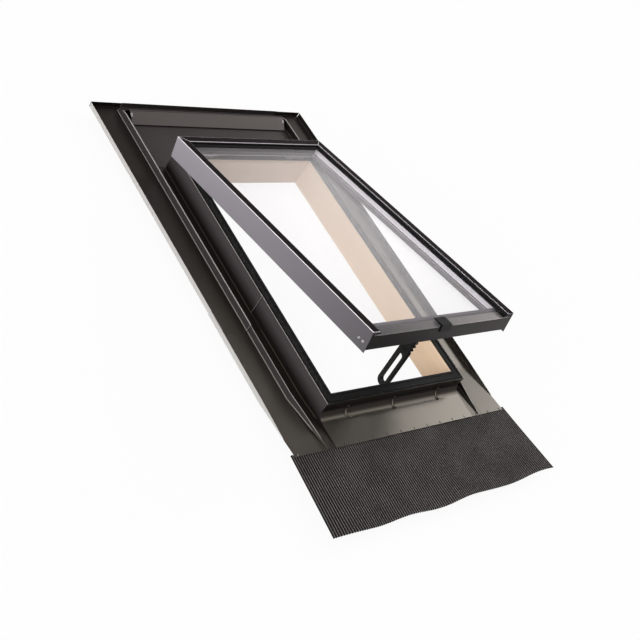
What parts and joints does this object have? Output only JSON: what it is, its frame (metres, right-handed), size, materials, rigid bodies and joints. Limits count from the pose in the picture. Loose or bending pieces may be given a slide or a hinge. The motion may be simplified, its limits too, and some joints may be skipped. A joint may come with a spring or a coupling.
{
  "type": "roof skylight",
  "caption": "Top-hung roof skylight with a pine frame, a glazed metal sash propped open on a slotted stay, folded sheet flashing and a pleated apron.",
  "frame": {"origin": "centre of the frame on the plane of the roof battens, which is the centre of the four batten screw holes", "axes": "+X across the roof, +Y up the slope, +Z out of the roof"},
  "size_m": [0.737, 1.2353, 0.2997],
  "materials": {
    "pine": "clear lacquer",
    "sheet": "dark brown-grey coil coating",
    "apron": "dark grey pleated sheet",
    "sash_paint": "grey satin coating",
    "rubber": "matt",
    "black_plastic": "moulded",
    "steel": "zinc plated",
    "spacer": "mill finish",
    "glass": "clear"
  },
  "bodies": {
    "frame": {"side_board_left": "pine", "side_board_right": "pine", "head_board": "pine", "sill_board": "pine", "rim_seal": "rubber", "side_flashing_left_upper": "sheet", "side_flashing_right_upper": "sheet", "side_flashing_left_lower": "sheet", "side_flashing_right_lower": "sheet", "head_flashing": "sheet", "head_bar": "sheet", "sill_flashing": "sheet", "seam_clips": "sheet", "apron": "apron", "mounting_brackets": "steel", "bracket_screws": "steel", "hinge_frame_leaf_left": "steel", "hinge_frame_leaf_right": "steel", "hinge_pin_left": "steel", "hinge_pin_right": "steel", "hinge_frame_screws": "steel", "stay_catch": "steel", "catch_peg": "steel", "catch_screws": "steel"},
    "sash": {"sash_side_left": "sash_paint", "sash_side_right": "sash_paint", "sash_head_rail": "sash_paint", "sash_sill_rail": "sash_paint", "corner_rivets": "sash_paint", "corner_keys": "steel", "corner_cleats": "steel", "hinge_sash_leaf_left": "steel", "hinge_sash_leaf_right": "steel", "hinge_sash_screws": "steel", "stay_bracket": "steel", "stay_pivot_pin": "steel", "stay_bracket_screws": "steel", "glass_outer": "glass", "glass_inner": "glass", "glass_spacer": "spacer", "glazing_gasket": "rubber", "sash_seal": "rubber", "glass_clip": "black_plastic"},
    "stay": {"stay_lever": "black_plastic"}
  },
  "joints": [
    {"name": "sash_hinge", "type": "hinge", "parent": "frame", "child": "sash", "pos_m": [0, 0.372, 0.0665], "axis": [-1, 0, 0], "range_deg": [-13.44, 0]},
    {"name": "stay_pivot", "type": "hinge", "parent": "sash", "child": "stay", "pos_m": [0, -0.32886, 0.23285], "axis": [-1, 0, 0], "range_deg": [0, 6.72]}
  ],
  "couplings": [
    {"joint": "stay_pivot", "follows": "sash_hinge", "ratio": -0.5}
  ]
}
